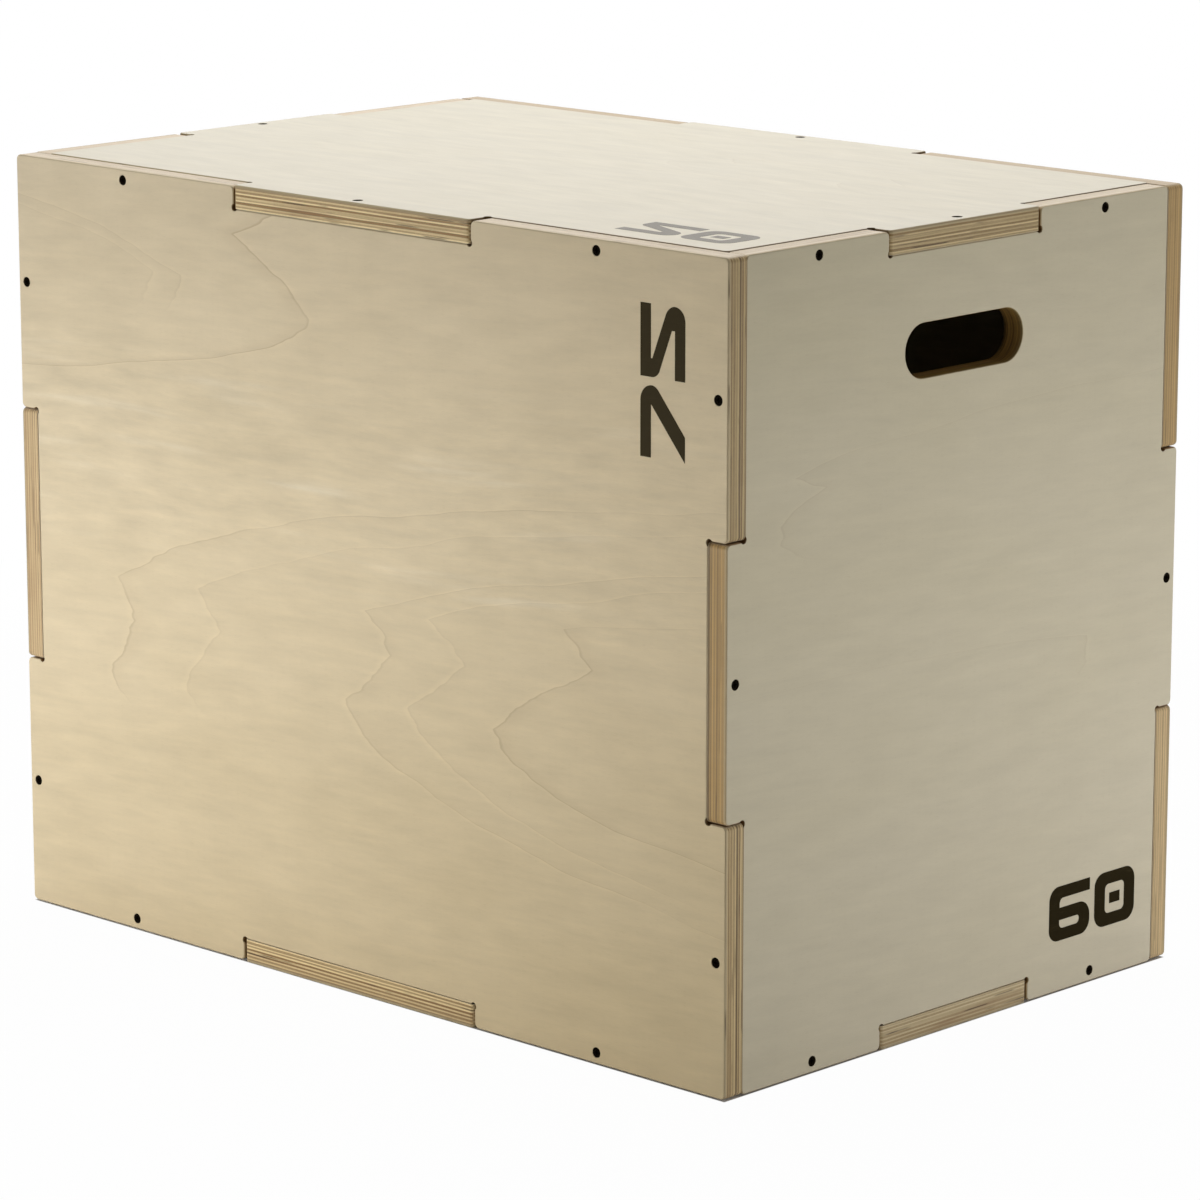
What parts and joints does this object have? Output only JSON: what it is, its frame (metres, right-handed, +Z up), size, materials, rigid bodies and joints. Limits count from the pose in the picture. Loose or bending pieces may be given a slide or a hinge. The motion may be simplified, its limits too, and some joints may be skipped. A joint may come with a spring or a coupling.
{
  "type": "plyo box",
  "caption": "Wooden jump box of finger-jointed plywood panels held by sunk black screws, with a hand slot in each end; it is turned onto different sides to give different jump heights.",
  "frame": {"origin": "middle of the underside, on the floor", "axes": "+X along the longest side, towards the right end panel; +Y from the front panel to the back; +Z up"},
  "size_m": [0.75, 0.5, 0.6],
  "materials": {
    "plywood": "sanded, clear matt seal",
    "black_screw": "black oxide"
  },
  "bodies": {
    "root": {"front_panel": "plywood", "back_panel": "plywood", "right_panel": "plywood", "left_panel": "plywood", "top_panel": "plywood", "bottom_panel": "plywood", "screws_front_into_top": "black_screw", "screws_front_into_bottom": "black_screw", "screws_front_into_left": "black_screw", "screws_front_into_right": "black_screw", "screws_back_into_top": "black_screw", "screws_back_into_bottom": "black_screw", "screws_back_into_left": "black_screw", "screws_back_into_right": "black_screw", "screws_left_into_top": "black_screw", "screws_left_into_bottom": "black_screw", "screw_left_into_front": "black_screw", "screw_left_into_back": "black_screw", "screws_right_into_top": "black_screw", "screws_right_into_bottom": "black_screw", "screw_right_into_front": "black_screw", "screw_right_into_back": "black_screw", "screw_top_into_front": "black_screw", "screw_top_into_back": "black_screw", "screw_top_into_left": "black_screw", "screw_top_into_right": "black_screw", "screw_bottom_into_front": "black_screw", "screw_bottom_into_back": "black_screw", "screw_bottom_into_left": "black_screw", "screw_bottom_into_right": "black_screw"}
  },
  "joints": []
}
